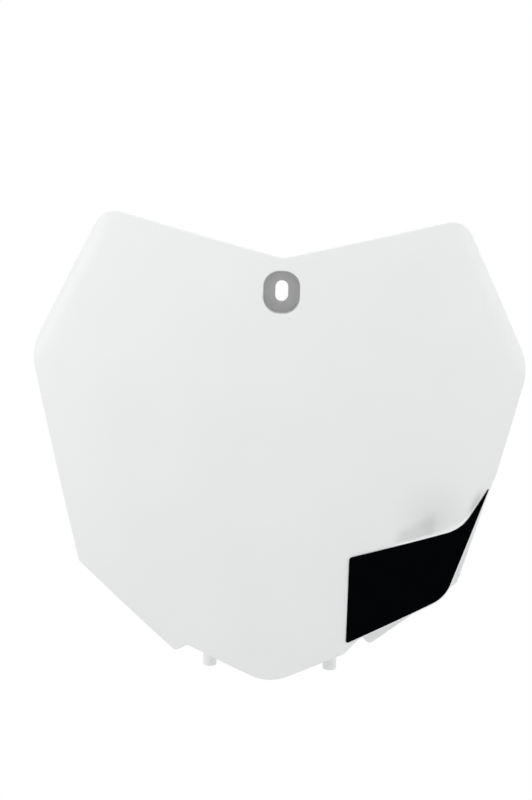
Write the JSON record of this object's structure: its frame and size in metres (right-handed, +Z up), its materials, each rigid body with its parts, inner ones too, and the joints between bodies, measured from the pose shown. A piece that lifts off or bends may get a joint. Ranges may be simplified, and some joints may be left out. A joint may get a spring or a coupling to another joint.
{
  "type": "motorcycle front number plate",
  "caption": "Off-road motorcycle front number plate: thin curved white shell with a recessed bolt slot, peg arms behind the nose and a brake hose channel under a black corner panel.",
  "frame": {"origin": "middle of the bolt slot, on the flat seat at the back of the pocket", "axes": "+X to the right as seen from the front, +Y towards the motorcycle, +Z up; the face looks along -Y"},
  "size_m": [0.2641, 0.0458, 0.249],
  "materials": {
    "white_plastic": "semi-gloss injection-moulded polypropylene",
    "black_film": "matt self-adhesive vinyl"
  },
  "bodies": {
    "root": {"plate": "white_plastic", "corner_film": "black_film"}
  },
  "joints": []
}
